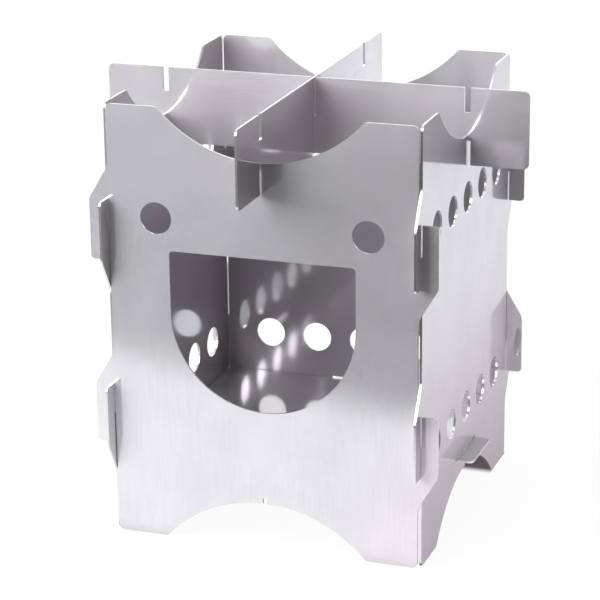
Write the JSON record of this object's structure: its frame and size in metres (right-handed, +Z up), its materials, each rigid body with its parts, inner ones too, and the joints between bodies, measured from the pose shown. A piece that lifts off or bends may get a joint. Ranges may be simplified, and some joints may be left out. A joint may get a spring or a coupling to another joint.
{
  "type": "twig stove",
  "caption": "Square flat-pack twig stove of interlocking stainless steel plates, with a round-bottomed fuel door, vent holes, arched edges, a floor plate and crossed pot bars on top.",
  "frame": {"origin": "on the ground, at the centre of the stove's square plan", "axes": "+Z up, the fuel door faces -Y, +X to the right of someone who looks at the door"},
  "size_m": [0.1644, 0.1644, 0.1645],
  "materials": {
    "sheet_steel": "satin, cold rolled"
  },
  "bodies": {
    "shell": {"front_wall": "sheet_steel", "right_wall": "sheet_steel", "back_wall": "sheet_steel", "left_wall": "sheet_steel", "floor_plate": "sheet_steel"},
    "lower_bar": {"lower_pot_bar": "sheet_steel"},
    "upper_bar": {"upper_pot_bar": "sheet_steel"}
  },
  "joints": [
    {"name": "lower_bar_lift", "type": "slide", "parent": "shell", "child": "lower_bar", "axis": [0, 0, 1], "range_m": [0, 0.04]},
    {"name": "upper_bar_lift", "type": "slide", "parent": "lower_bar", "child": "upper_bar", "axis": [0, 0, 1], "range_m": [0, 0.04]}
  ]
}
